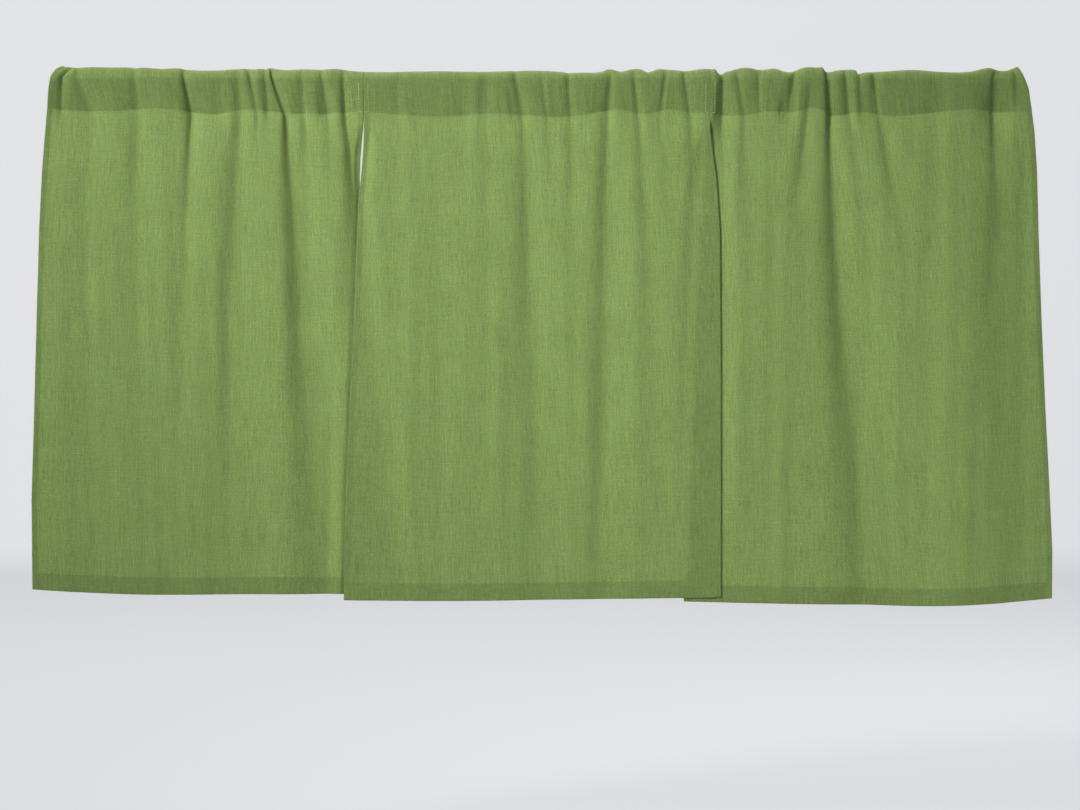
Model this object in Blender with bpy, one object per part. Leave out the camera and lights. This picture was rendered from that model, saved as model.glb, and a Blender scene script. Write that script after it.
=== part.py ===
"""Three-panel door curtain of plain linen, hanging from a rod pocket.

Units in the tables are millimetres. X runs to the right along the heading, Y runs away from
the viewer, Z is up. The origin is at the middle of the top edge, above the rod's axis.
Each panel is one sheet: side hems, a bottom hem and a top that turns to the back as a pocket.
"""

from collections import namedtuple

import bmesh
import bpy
import numpy as np

MM = 0.001

# Cloth
SHEET = 1.2          # thickness of the sheet
HEM_EXTRA = 0.8      # what the turned-in layers add behind a hem
SIDE_HEM = 5.0
BOTTOM_HEM = 17.0
HEM_STEP = 0.6       # width of the step where a hem's turned edge ends

# Rod pocket
ROD_CLEAR = 5.5      # radius that stays clear for the rod
ROD_Z = -11.0        # height of the rod's axis
BACK_SHARE = 0.6     # how much of the front's folds the back of the pocket takes
POCKET_RIDGE = 4.2   # how far the ridges stand off the rod
SEAM_LINE_RIDGE = 3.9
RIDGE_SOFT = 0.6     # how softly the pocket's front meets the rod's room
BACK_LAYER_RISE = 0.5
POCKET_TIP_RISE = 1.4
SEAM_STEP = 0.4

# Seams between the panels: sewn from the top edge down to SLIT_TOP, free below
SLIT_TOP = 54.0
STIFF_SEAM = 7.0     # the doubled cloth beside a sewn seam stays flat this far
STIFF_LAP = 21.0     # and beside an overlap, a third of the way down
SLIT_EASE = 30.0     # how far below the slit's top the sewn edges reach the curtain's plane

# Rows of the solids
FREE_ROWS = (1.0, 0.86, 0.73, 0.61, 0.5, 0.41, 0.33, 0.26, 0.2, 0.145, 0.1, 0.06, 0.03, 0.0)
FRONT_ROWS = (0.3, 0.65)
ARCH_ANGLES = (0, 38, 75, 105, 142, 180)
BACK_ROWS = (0.65, 0.3)
COLUMN_PITCH = 9.0
EASED = 0.35         # how strongly the columns gather towards the folds
FOLD_MARGIN = 1.0    # the least distance between the edge's columns and a fold's
HEM_COLUMNS = 2      # columns of a side hem
SHARP_ANGLE = 75.0

# Heights below the top edge at which the fold table gives its places and depths
CROWN, ROD, SEAM, THIRD, HEM = 0.0, 9.0, 48.0, 175.0, 520.0

TROUGH_POWER = -1.5  # how steeply a fold's sides level out
DIP_SHARE = 0.5      # the part of a fold's dip that the curve of the top edge leaves out
SEAM_WIDER = 1.4     # how much wider a crease is at the pocket's stitching than over the rod
HEM_WIDER = 1.75     # and at the hem than a third of the way down
GENTLER_SIDE = 2.0   # how much wider its right side is than its left, below the heading

# The tables give the darkest line of a fold. Its bottom lies to the right of that by a
# fixed distance and a share of its width.
DARK_SHIFT, DARK_SHARE = 1.5, 0.45

# A fold is a trough. rod, seam, third and hem: its X there. hook: how far its top end turns
# aside at the top edge. d_rod, d_seam, d_third and d_hem: its depth behind the ridges there.
# left and right: half-widths at the heading. wide: half-width a third of the way down.
# tuck: how far its cloth is drawn sideways. dip: how far the top edge drops over it.
Fold = namedtuple(
    "Fold",
    "rod hook seam third hem d_rod d_seam d_third d_hem left right wide tuck dip",
)

LEFT_FOLDS = (
    Fold(-480, 9, -484, -489, -495, 3.6, 0.6, 0.0, 0.0, 2.5, 4.0, 12, 0, 2.5),
    Fold(-466, 0, -452, -458, -464, 1.6, 1.2, 0.0, 0.0, 5.0, 6.0, 14, 0, 0.0),
    Fold(-409, 0, -406, -417, -422, 1.7, 2.4, 2.0, 1.0, 5.0, 6.0, 18, 0, 2.0),
    Fold(-358, -1, -352, -360, -374, 3.3, 3.8, 2.3, 0.8, 3.0, 5.5, 9, -1, 0.8),
    Fold(-306, 0, -306, -315, -329, 2.0, 3.0, 5.4, 3.2, 6.0, 7.0, 15, 0, 1.2),
    Fold(-293, -3, -286, -293, -303, 3.2, 1.8, 0.0, 0.0, 2.5, 3.5, 12, 0, 0.6),
    Fold(-278, 0, -276, -276, -284, 2.6, 1.0, 0.0, 0.0, 3.0, 3.0, 12, 0, 3.2),
    Fold(-269, -2, -257, -252, -234, 5.4, 5.7, 8.0, 4.8, 2.8, 6.0, 15, -2, 0.6),
    Fold(-242, 0, -239, -238, -214, 1.4, 2.6, 1.8, 1.0, 3.5, 3.5, 15, 0, 0.0),
    Fold(-221, -1, -216, -213, -190, 2.2, 1.8, 0.8, 0.6, 3.0, 3.5, 14, 0, 0.8),
    Fold(-200, 0, -199, -184, -163, 3.0, 4.4, 1.6, 0.0, 2.6, 5.5, 8, 0, 0.0),
)

MIDDLE_FOLDS = (
    Fold(-122, 0, -121, -126, -130, 1.2, 1.0, 0.6, 0.3, 12., 12., 20, 0, 0.4),
    Fold(-88, 0, -89, -88, -90, 1.0, 1.0, 0.6, 0.2, 10., 10., 20, 0, 0.2),
    Fold(-60, 0, -62, -56, -52, 0.9, 0.9, 0.8, 0.4, 8.0, 8.0, 20, 0, 0.3),
    Fold(-29, 0, -21, -19, -9, 2.6, 2.3, 4.4, 3.0, 3.6, 7.0, 14, 0, 0.4),
    Fold(-2, 0, 2, 6, 14, 1.6, 1.5, 0.2, 0.0, 4.0, 4.0, 12, 0, 0.0),
    Fold(24, 0, 27, 25, 27, 2.4, 2.1, 0.9, 0.0, 3.0, 5.5, 11, 0, 1.4),
    Fold(66, -3, 63, 57, 49, 2.7, 3.0, 4.0, 1.6, 3.2, 4.6, 13, 1, 0.4),
    Fold(90, 2, 94, 101, 112, 2.2, 2.2, 1.8, 0.4, 3.8, 4.0, 9, 0, 0.0),
    Fold(121, 1, 116, 124, 138, 2.1, 1.4, 0.3, 0.0, 3.6, 2.8, 12, 0, 0.0),
    Fold(140, 0, 146, 152, 160, 2.5, 1.7, 0.8, 0.6, 3.0, 4.4, 12, 0, 1.0),
)

RIGHT_FOLDS = (
    Fold(178, 0, 178, 176, 172, 4.0, 4.1, 1.6, 0.0, 2.8, 4.5, 10, 0, 1.6),
    Fold(193, 0, 199, 196, 192, 2.4, 2.6, 0.6, 0.3, 4.0, 4.6, 12, 0, 0.0),
    Fold(214, 0, 216, 218, 216, 2.2, 0.9, 0.3, 0.0, 2.8, 3.5, 12, 0, 1.0),
    Fold(249, 2, 243, 230, 230, 3.5, 1.4, 0.8, 0.0, 4.0, 5.0, 13, 0, 1.2),
    Fold(266, 0, 263, 245, 240, 0.4, 2.6, 1.8, 0.8, 3.5, 4.4, 14, 0, 0.0),
    Fold(284, 0, 286, 288, 318, 6.9, 6.4, 9.6, 8.2, 2.4, 4.6, 15, -2, 1.6),
    Fold(301, 0, 306, 320, 346, 3.2, 3.0, 2.8, 2.0, 3.2, 3.8, 13, 0, 0.0),
    Fold(315, 2, 317, 334, 362, 2.6, 0.5, 0.9, 0.8, 2.8, 3.0, 14, 0, 2.2),
    Fold(329, 0, 335, 357, 384, 3.4, 3.6, 1.6, 0.8, 3.5, 5.5, 14, 0, 0.0),
    Fold(449, 5, 449, 452, 460, 5.5, 5.9, 4.4, 2.0, 3.4, 13., 20, 0, 1.5),
    Fold(471, -3, 472, 477, 490, 3.6, 1.6, 0.0, 0.0, 3.5, 3.5, 11, 0, 2.4),
)

# Side edges: down is the height below the top edge, x the place, back how far behind the
# plane of the curtain the edge hangs.
Edge = namedtuple("Edge", "down x back")

LEFT_OUTER = (
    Edge(-3.5, -477.5, 0), Edge(1.5, -484.5, 0), Edge(9, -488.6, 0), Edge(21, -491.2, 0),
    Edge(41, -493.4, 0), Edge(61, -495, 0), Edge(101, -498.2, 0), Edge(161, -501.3, 0),
    Edge(241, -503.7, 0), Edge(341, -506.5, 0), Edge(431, -509.3, 0), Edge(524, -508.5, 0),
)
LEFT_INNER = (
    Edge(-4, -177.15, 0), Edge(50, -177.15, 0), Edge(57, -177.5, 0.6), Edge(71, -179.3, 2.4),
    Edge(89, -181, 3.6), Edge(110, -181.8, 4.4), Edge(130, -181.6, 5), Edge(208, -176, 4.4),
    Edge(300, -165, 3.4), Edge(420, -150.5, 2.8), Edge(524, -140, 2.6),
)
MIDDLE_LEFT = (
    Edge(-4, -176.85, 0), Edge(50, -176.85, 0), Edge(57, -176.85, -0.4), Edge(71, -177.2, -1.2),
    Edge(89, -178.3, -1.6), Edge(109, -180, -1.6), Edge(130, -182.2, -1.6),
    Edge(151, -183, -1.6), Edge(261, -187, -1.6), Edge(331, -190.8, -1.6),
    Edge(431, -195, -1.6), Edge(531, -197, -1.6),
)
MIDDLE_RIGHT = (
    Edge(-4, 168.85, 0), Edge(50, 168.85, 0), Edge(60, 168.85, -1.2), Edge(81, 171.5, -1.2),
    Edge(111, 175.5, -1.2), Edge(161, 179, -1.2), Edge(300, 180, -1.2), Edge(531, 180, -1.2),
)
RIGHT_INNER = (
    Edge(-4, 169.15, 0), Edge(50, 169.15, 0), Edge(60, 169.15, 2.6), Edge(81, 161, 3.2),
    Edge(151, 156, 3.2), Edge(231, 151, 3.0), Edge(331, 147, 3.0), Edge(431, 144, 3.0),
    Edge(535, 143, 3.0),
)
RIGHT_OUTER = (
    Edge(-3.5, 475, 0), Edge(1, 477.5, 0), Edge(9, 481.2, 0), Edge(21, 486.3, 0),
    Edge(41, 490, 0), Edge(61, 492.9, 1), Edge(101, 496.5, 5), Edge(161, 498.9, 8),
    Edge(261, 502.7, 9), Edge(341, 506.3, 9), Edge(421, 510.3, 8.5), Edge(481, 513, 8),
    Edge(535, 512.6, 7.5),
)

# The top edge as it lies over the rod, and the line of stitching that closes the pocket
Height = namedtuple("Height", "x z")

TOP_EDGE = (
    Height(-477.5, 3.4), Height(-463, 1.6), Height(-453, 2.2), Height(-425, 1.9),
    Height(-398, 1.9), Height(-380, 0.5), Height(-362, 1.0), Height(-352, -0.4),
    Height(-320, -1.0), Height(-296, 0.9), Height(-287, 0.2), Height(-272, 1.5),
    Height(-255, -0.8), Height(-240, -0.1), Height(-220, -0.3), Height(-205, 0.4),
    Height(-188, -1.8), Height(-150, -2.8), Height(-118, -1.9), Height(-60, -2.4),
    Height(0, -1.5), Height(38, -3.3), Height(61, -2.0), Height(67, 0.2),
    Height(79, -2.3), Height(92, 0.1), Height(100, 0.0), Height(107, -3.1),
    Height(117, 0.2), Height(128, -0.5), Height(150, -1.2), Height(160, 0.3),
    Height(170, 0.1), Height(174.5, -0.4), Height(177, -3.9), Height(184, -2.6),
    Height(203, 1.6), Height(222, -0.4), Height(233, 0.8), Height(246, -2.8),
    Height(265, 2.2), Height(277, 1.8),
    Height(281.5, 1.9), Height(284, -1.6), Height(287, -2.0), Height(300, -0.6),
    Height(312, -0.4), Height(315, -0.9), Height(317, -3.4), Height(322, -3.2),
    Height(340, -2.4), Height(372, -0.6), Height(400, -2.6), Height(430, -2.4),
    Height(447, 1.6), Height(466, -0.8), Height(475, 3.3),
)
POCKET_SEAM = (
    Height(-494, -40), Height(-470, -42), Height(-430, -42.5), Height(-380, -40),
    Height(-350, -43), Height(-330, -45.5), Height(-293, -41), Height(-257, -44),
    Height(-225, -45.4), Height(-177, -43.5), Height(-150, -45.5), Height(-105, -48.2),
    Height(-65, -45.5), Height(-20, -46.2), Height(30, -48), Height(60, -43),
    Height(78, -41), Height(103, -45.6), Height(127, -41.2), Height(150, -44),
    Height(169, -44), Height(187, -46.8), Height(235, -43), Height(250, -43.6),
    Height(271, -39), Height(295, -46.6), Height(318, -43.5), Height(352, -47.4),
    Height(400, -43.5), Height(432, -41), Height(460, -43), Height(490, -43.5),
)

# Bottom edges: across runs from 0 at the panel's left edge to 1 at its right
Bottom = namedtuple("Bottom", "across z")

LEFT_BOTTOM = (
    Bottom(0, -520.4), Bottom(0.12, -523), Bottom(0.26, -525.2), Bottom(0.6, -525.3),
    Bottom(1, -525),
)
MIDDLE_BOTTOM = (
    Bottom(0, -531.2), Bottom(0.3, -531.8), Bottom(0.6, -530.4), Bottom(1, -528.4),
)
RIGHT_BOTTOM = (
    Bottom(0, -532.6), Bottom(0.28, -534.8), Bottom(0.48, -536), Bottom(0.64, -537.6),
    Bottom(0.82, -535.4), Bottom(1, -530),
)

# How far the sheet between the folds stands forward, at the heights of the fold table
LIFT_SEAM, LIFT_THIRD, LIFT_HEM = 3.4, 2.6, 0.8

# How wide each side edge's push forward or back reaches, at SLIT_TOP, THIRD and HEM
EDGE_REACH = (14, 24, 30)
FREE_REACH = (30, 70, 80)

# left and right are a panel's edges. left_next and right_next are the neighbour's edge that
# each is sewn to down to the slit, or None at a free side of the curtain.
Panel = namedtuple("Panel", "name folds left right bottom left_next right_next")

PANELS = (
    Panel("left_panel", LEFT_FOLDS, LEFT_OUTER, LEFT_INNER, LEFT_BOTTOM, None, MIDDLE_LEFT),
    Panel(
        "middle_panel", MIDDLE_FOLDS, MIDDLE_LEFT, MIDDLE_RIGHT, MIDDLE_BOTTOM,
        LEFT_INNER, RIGHT_INNER,
    ),
    Panel("right_panel", RIGHT_FOLDS, RIGHT_INNER, RIGHT_OUTER, RIGHT_BOTTOM, MIDDLE_RIGHT, None),
)

LINEN = {"color": (0.25, 0.37, 0.105, 1.0), "roughness": 0.9}


def curve(places, values, at):
    """A smooth curve through (place, value) pairs, read at the places in at."""
    places = np.asarray(places, float)
    values = np.asarray(values, float)
    slopes = np.gradient(values, places)
    at = np.clip(at, places[0], places[-1])
    left = np.clip(np.searchsorted(places, at, side="right") - 1, 0, len(places) - 2)
    span = places[left + 1] - places[left]
    t = (at - places[left]) / span
    return (
        (2 * t**3 - 3 * t**2 + 1) * values[left]
        + (t**3 - 2 * t**2 + t) * span * slopes[left]
        + (3 * t**2 - 2 * t**3) * values[left + 1]
        + (t**3 - t**2) * span * slopes[left + 1]
    )


def straight(places, values, at):
    """The same with straight lines, which never swing past a value."""
    return np.interp(at, places, values)


def smooth(t):
    t = np.clip(t, 0.0, 1.0)
    return t * t * (3 - 2 * t)


def column(rows, name):
    return [getattr(row, name) for row in rows]


def fold_places(fold, down):
    levels = (CROWN, ROD, SEAM, THIRD, HEM)
    places = (fold.rod + fold.hook, fold.rod, fold.seam, fold.third, fold.hem)
    dark = straight(levels, places, down)
    return dark + DARK_SHIFT + DARK_SHARE * fold_width(fold.left, fold.wide, down)


def fold_depth(fold, down):
    levels = (ROD, SEAM, THIRD, HEM)
    return curve(levels, (fold.d_rod, fold.d_seam, fold.d_third, fold.d_hem), down)


def fold_width(half, wide, down):
    """A crease opens out on its way down."""
    halves = (half, SEAM_WIDER * half, wide, HEM_WIDER * wide)
    return straight((ROD, SEAM, THIRD, HEM), halves, down)


def trough(fold, x, down):
    """1 at the bottom of the fold, falling to 0 on both sides, at places x."""
    off = x - fold_places(fold, down)
    half = np.where(
        off < 0,
        fold_width(fold.left, fold.wide, down),
        fold_width(fold.right, GENTLER_SIDE * fold.wide, down),
    )
    return (1 + (off / half) ** 2) ** TROUGH_POWER


def column_list(panel):
    """Each column of the mesh, as the two anchors it lies between and its share of the way.

    The anchors are the panel's edges, the steps of its side hems and its folds.
    """
    heading = anchors(panel, np.array([SEAM]))[:, 0]
    found = []
    for k in range(len(heading) - 1):
        inside = HEM_COLUMNS <= k < len(heading) - 1 - HEM_COLUMNS
        width = heading[k + 1] - heading[k]
        parts = max(2, round(width / COLUMN_PITCH)) if inside else 1
        for part in range(parts):
            share = part / parts
            found.append((k, EASED * smooth(share) + (1 - EASED) * share))
    found.append((len(heading) - 2, 1.0))
    return found


def anchors(panel, down):
    """Places of the anchors, one row for each, at the heights in down."""
    left = straight(column(panel.left, "down"), column(panel.left, "x"), down)
    right = straight(column(panel.right, "down"), column(panel.right, "x"), down)
    near = SIDE_HEM - HEM_STEP / 2
    far = SIDE_HEM + HEM_STEP / 2
    margin = far + FOLD_MARGIN
    rows = [left, left + near, left + far]
    for fold in panel.folds:
        rows.append(np.clip(fold_places(fold, down), left + margin, right - margin))
    rows += [right - far, right - near, right]
    return np.array(rows)


def edge_shares(panel, x, down):
    """How far x is from each edge in millimetres, and how far back each edge hangs."""
    left_x = straight(column(panel.left, "down"), column(panel.left, "x"), down)
    right_x = straight(column(panel.right, "down"), column(panel.right, "x"), down)
    left_back = straight(column(panel.left, "down"), column(panel.left, "back"), down)
    right_back = straight(column(panel.right, "down"), column(panel.right, "back"), down)
    return x - left_x, right_x - x, left_back, right_back


def lap(edge, neighbour, down):
    """How wide a panel lies over or under its neighbour."""
    if neighbour is None:
        return np.zeros_like(down)
    here = straight(column(edge, "down"), column(edge, "x"), down)
    there = straight(column(neighbour, "down"), column(neighbour, "x"), down)
    return np.abs(here - there)


def calm(panel, x, down):
    """0 at a sewn or overlapping edge, where the folds die out, and 1 away from it."""
    from_left, from_right, _, _ = edge_shares(panel, x, down)
    reach = straight((0, SLIT_TOP, THIRD), (STIFF_SEAM, STIFF_SEAM, STIFF_LAP), down)
    share = np.ones_like(x)
    if panel.left_next:
        share = share * smooth((from_left - lap(panel.left, panel.left_next, down)) / reach)
    if panel.right_next:
        share = share * smooth((from_right - lap(panel.right, panel.right_next, down)) / reach)
    return share


def hang_back(panel, x, down):
    """How far the sheet is pushed back or forward by its edges where the panels overlap."""
    from_left, from_right, left_back, right_back = edge_shares(panel, x, down)
    if panel.left_next and panel.right_next:
        across = from_left / (from_left + from_right)
        return left_back * (1 - across) + right_back * across
    levels = (SLIT_TOP, THIRD, HEM)
    left_reach = straight(levels, EDGE_REACH if panel.left_next else FREE_REACH, down)
    right_reach = straight(levels, EDGE_REACH if panel.right_next else FREE_REACH, down)
    left_share = smooth((from_left - lap(panel.left, panel.left_next, down)) / left_reach)
    right_share = smooth((from_right - lap(panel.right, panel.right_next, down)) / right_reach)
    return left_back * (1 - left_share) + right_back * (1 - right_share)


def folds_at(panel, x, down):
    """(depth behind the ridges, sideways pull) of all the panel's folds."""
    depth = np.zeros_like(x)
    pull = np.zeros_like(x)
    for fold in panel.folds:
        shape = trough(fold, x, down)
        depth += fold_depth(fold, down) * shape
        pull += fold.tuck * shape * straight((SEAM, THIRD), (1, 0), down)
    share = calm(panel, x, down)
    return depth * share, pull * share


def free_depth(panel, x, down):
    """Y of the single sheet, below the pocket."""
    depth, pull = folds_at(panel, x, down)
    lift = straight((SEAM, THIRD, HEM), (LIFT_SEAM, LIFT_THIRD, LIFT_HEM), down)
    sewn = 1 - smooth((down - SLIT_TOP) / SLIT_EASE)
    share = np.maximum(calm(panel, x, down), sewn)
    return depth - lift * share + hang_back(panel, x, down), pull


def ridge_height(panel, x, down):
    """How far the pocket's front stands off the rod: nothing at the bottom of a deep fold."""
    depth, pull = folds_at(panel, x, down)
    share = calm(panel, x, down)
    height = (POCKET_RIDGE - depth) * share + SEAM_LINE_RIDGE * (1 - share)
    return 0.5 * (height + np.sqrt(height**2 + RIDGE_SOFT**2)), pull


def top_height(panel, x):
    height = curve(column(TOP_EDGE, "x"), column(TOP_EDGE, "z"), x)
    for fold in panel.folds:
        height = height - DIP_SHARE * fold.dip * trough(fold, x, np.full_like(x, ROD))
    return height - SHEET / 2


def sheet_point(panel, columns, down, z):
    """The middle of the single sheet at one height: down picks the folds, z is the place."""
    x = places_of(panel, columns, down)
    y, pull = free_depth(panel, x, down)
    return np.stack([x + pull, y, z], axis=-1)


def places_of(panel, columns, down):
    """X of each column at the height that down gives for it."""
    rows = anchors(panel, down)
    index = np.array([k for k, _ in columns])
    share = np.array([part for _, part in columns])
    here = np.arange(len(columns))
    return rows[index, here] * (1 - share) + rows[index + 1, here] * share


def panel_rows(panel, columns):
    """Middle surface of the panel as rows of points: bottom edge, up the front, over the rod
    and down the back to the pocket's seam. Also the number of rows below the seam."""
    count = len(columns)
    ones = np.ones(count)
    seam_x = places_of(panel, columns, ones * SEAM)
    seam_z = curve(column(POCKET_SEAM, "x"), column(POCKET_SEAM, "z"), seam_x)
    bottom_x = places_of(panel, columns, ones * HEM)
    across = (bottom_x - bottom_x[0]) / (bottom_x[-1] - bottom_x[0])
    bottom_z = curve(column(panel.bottom, "across"), column(panel.bottom, "z"), across)

    rows = []
    length = seam_z - bottom_z
    hem_at = 1 - BOTTOM_HEM / np.mean(length)
    step = HEM_STEP / 2 / np.mean(length)
    shares = sorted(set(FREE_ROWS) | {hem_at - step, hem_at + step}, reverse=True)
    for share in shares:
        z = seam_z - share * length
        rows.append(sheet_point(panel, columns, -z, z))
    below = len(rows)

    rod_x = places_of(panel, columns, ones * ROD)
    ridge, pull = ridge_height(panel, rod_x, ones * ROD)
    stand = ROD_CLEAR + SHEET / 2
    front_y = -stand - ridge
    back_y = stand + BACK_SHARE * ridge
    seam_row = rows[-1]
    for share in FRONT_ROWS:
        z = seam_z + share * (ROD_Z - seam_z)
        x = places_of(panel, columns, -z) + pull
        rows.append(np.stack([x, seam_row[:, 1] * (1 - share) + front_y * share, z], axis=-1))
    top_x = places_of(panel, columns, ones * CROWN)
    top = top_height(panel, top_x)
    for angle in np.radians(ARCH_ANGLES):
        z = ROD_Z + (top - ROD_Z) * np.sin(angle)
        x = places_of(panel, columns, -z) + pull * np.cos(angle)
        middle = (front_y + back_y) / 2
        rows.append(np.stack([x, middle - (back_y - front_y) / 2 * np.cos(angle), z], axis=-1))
    tip_y = seam_row[:, 1] + SHEET
    for share in BACK_ROWS + (0.0,):
        rise = BACK_LAYER_RISE if share == 0 else 0
        z = seam_z + share * (ROD_Z - seam_z) + rise
        x = places_of(panel, columns, -z) + pull * share
        rows.append(np.stack([x, tip_y * (1 - share) + back_y * share, z], axis=-1))
    rows[-1][:, 0] = seam_row[:, 0]
    return np.array(rows), below


def outward(points):
    """Unit normals of the sheet, forward on the front, up at the top and back behind."""
    along = np.gradient(points, axis=1)
    up = np.gradient(points, axis=0)
    normal = np.cross(along, up)
    return normal / np.linalg.norm(normal, axis=-1, keepdims=True)


def section_loops(panel, columns):
    """For every column, its outer loop and the loop round the inside of the pocket."""
    middle, below = panel_rows(panel, columns)
    normal = outward(middle)
    for sewn, index in ((panel.left_next, 0), (panel.right_next, -1)):
        if sewn:
            normal[:, index, 0] = 0
            normal[:, index] /= np.linalg.norm(normal[:, index], axis=-1, keepdims=True)

    count = len(columns)
    last = len(middle) - 1
    extra = np.zeros((below, count))
    hem_rows = middle[:below, :, 2] < middle[0, :, 2] + BOTTOM_HEM
    extra[hem_rows] = HEM_EXTRA
    extra[:, :HEM_COLUMNS] = HEM_EXTRA
    extra[:, -HEM_COLUMNS:] = HEM_EXTRA

    front = middle[:below] + normal[:below] * SHEET / 2
    behind = middle[:below] - normal[:below] * (SHEET / 2 + extra[..., None])
    behind[-1, :, 2] -= SEAM_STEP
    outer_pocket = middle[below:] + normal[below:] * SHEET / 2
    inner_pocket = middle[below:last] - normal[below:last] * SHEET / 2
    tip = middle[below - 1].copy()
    tip[:, 1] += SHEET / 2
    tip[:, 2] += POCKET_TIP_RISE
    outer = np.concatenate([front, outer_pocket, behind[::-1]])
    inner = np.concatenate([tip[None], inner_pocket])
    return outer, inner, below


def build_panel(panel, material):
    columns = column_list(panel)
    outer, inner, below = section_loops(panel, columns)
    mesh = bpy.data.meshes.new(panel.name)
    grid = bmesh.new()
    outer_verts = [[grid.verts.new(point * MM) for point in row] for row in outer]
    inner_verts = [[grid.verts.new(point * MM) for point in row] for row in inner]

    # The two faces of the sheet are split along the same diagonals, so that they stay parallel
    turned = len(outer_verts) - below
    for ring in (outer_verts, inner_verts):
        for k in range(len(ring)):
            here, after = ring[k], ring[(k + 1) % len(ring)]
            for i in range(len(columns) - 1):
                if ring is outer_verts and k >= turned:
                    grid.faces.new((here[i], here[i + 1], after[i]))
                    grid.faces.new((here[i + 1], after[i + 1], after[i]))
                else:
                    grid.faces.new((here[i], here[i + 1], after[i + 1]))
                    grid.faces.new((here[i], after[i + 1], after[i]))

    for i in (0, len(columns) - 1):
        out = [row[i] for row in outer_verts]
        hole = [row[i] for row in inner_verts]
        for k in range(below - 1):
            grid.faces.new((out[k], out[k + 1], out[-2 - k], out[-1 - k]))
        pocket = out[below - 1 : len(out) - below]
        ring = hole + hole[:1]
        for k in range(len(pocket) - 1):
            grid.faces.new((pocket[k], pocket[k + 1], ring[k + 1], ring[k]))
        grid.faces.new((pocket[0], ring[0], pocket[-1], out[len(out) - below]))

    bmesh.ops.recalc_face_normals(grid, faces=grid.faces)
    grid.to_mesh(mesh)
    grid.free()
    mesh.materials.append(material)
    for face in mesh.polygons:
        face.use_smooth = True
    mesh.set_sharp_from_angle(angle=np.radians(SHARP_ANGLE))
    obj = bpy.data.objects.new(panel.name, mesh)
    bpy.context.scene.collection.objects.link(obj)
    return obj


def linen_material():
    material = bpy.data.materials.new("linen")
    material.use_nodes = True
    shader = material.node_tree.nodes["Principled BSDF"]
    shader.inputs["Base Color"].default_value = LINEN["color"]
    shader.inputs["Roughness"].default_value = LINEN["roughness"]
    shader.inputs["Metallic"].default_value = 0.0
    return material


def main():
    for old in list(bpy.data.objects):
        bpy.data.objects.remove(old)
    material = linen_material()
    for panel in PANELS:
        build_panel(panel, material)


main()
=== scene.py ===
"""Looks of the three-panel door curtain of plain linen.

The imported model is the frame. Each panel gets a fine cloth that stands for its solid: one thin
sheet in the solid's folds, with rolled side and bottom hems and a rod pocket, and the rows of
stitches that hold them. Units in the tables are millimetres. X runs to the right along the
heading, Y runs away from the viewer, Z is up. The origin is at the middle of the top edge.
"""

from collections import namedtuple

import bpy
import numpy as np
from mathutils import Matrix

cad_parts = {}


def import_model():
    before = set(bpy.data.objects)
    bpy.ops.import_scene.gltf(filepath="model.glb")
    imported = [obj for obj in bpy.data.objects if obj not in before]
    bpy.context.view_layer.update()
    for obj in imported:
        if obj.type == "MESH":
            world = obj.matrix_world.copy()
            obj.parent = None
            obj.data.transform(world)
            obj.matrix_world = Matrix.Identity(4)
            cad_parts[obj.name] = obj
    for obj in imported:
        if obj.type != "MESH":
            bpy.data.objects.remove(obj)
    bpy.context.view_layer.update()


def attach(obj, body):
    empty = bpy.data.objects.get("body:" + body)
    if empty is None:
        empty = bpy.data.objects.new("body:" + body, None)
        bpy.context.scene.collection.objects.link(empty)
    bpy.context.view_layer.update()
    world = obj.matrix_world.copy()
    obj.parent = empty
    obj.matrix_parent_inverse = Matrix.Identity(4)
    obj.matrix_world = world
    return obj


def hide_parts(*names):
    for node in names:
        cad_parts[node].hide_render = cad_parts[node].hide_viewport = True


MM = 0.001

# Cloth
CLOTH = 0.30         # thickness of the linen
LAYER = 0.36         # spacing of the layers in a hem
SIDE_HEM = 5.0
BOTTOM_HEM = 17.0
HEM_STACKS = 3       # layers of side hem at each end of a bottom hem or of the pocket's end
STACK_BEYOND = 0.5   # a side hem lifts the layers behind it this far past its inner edge
STACK_EASE = 4.0     # and they come down over this width
SIDE_STITCH = 4.4    # distance of the stitching from a side edge
HEM_STITCH = 15.3    # height of the stitching above the bottom edge
EDGE_INSET = 0.02    # keeps the rounded edges of two sewn panels apart

# Rod pocket, as in the solids
SOLID_SHEET = 1.2
ROD_CLEAR = 5.5      # radius that stays clear for the rod
ROD_Z = -11.0        # height of the rod's axis
POCKET_RIDGE = 4.2   # how far the ridges stand off the rod
SEAM_LINE_RIDGE = 3.9    # and the cloth beside a sewn seam
RIDGE_SOFT = 0.6     # how softly the pocket's front meets the rod's room
BACK_SHARE = 0.6     # how much of the front's folds the back of the pocket takes
TIP_BELOW = 1.2      # the pocket's turned edge reaches this far below its stitching

# Seams between the panels
SLIT_TOP = 54.0
STIFF_SEAM = 7.0     # the doubled cloth beside a sewn seam stays flat this far
STIFF_LAP = 21.0     # and beside an overlap, a third of the way down
OVERLAP_SOFT = 9.0   # how softly the painted shade over an overlap begins, where the double cloth keeps back light
LEFT_LAP_SHARE = 0.5     # how much of that painted shade shows where the left lap is thin
SLIT_EASE = 30.0     # how far below the slit's top the sewn edges reach the curtain's plane

# Heights below the top edge at which the fold table gives its places and depths
CROWN, ROD, SEAM, THIRD, HEM = 0.0, 9.0, 48.0, 175.0, 520.0

TROUGH_POWER = -1.5  # how steeply a fold's sides level out
DIP_SHARE = 0.5      # the part of a fold's dip that the curve of the top edge leaves out
SEAM_WIDER = 1.4     # how much wider a crease is at the pocket's stitching than over the rod
HEM_WIDER = 1.75     # and at the hem than a third of the way down
GENTLER_SIDE = 2.0   # how much wider its right side is than its left, below the heading

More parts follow.
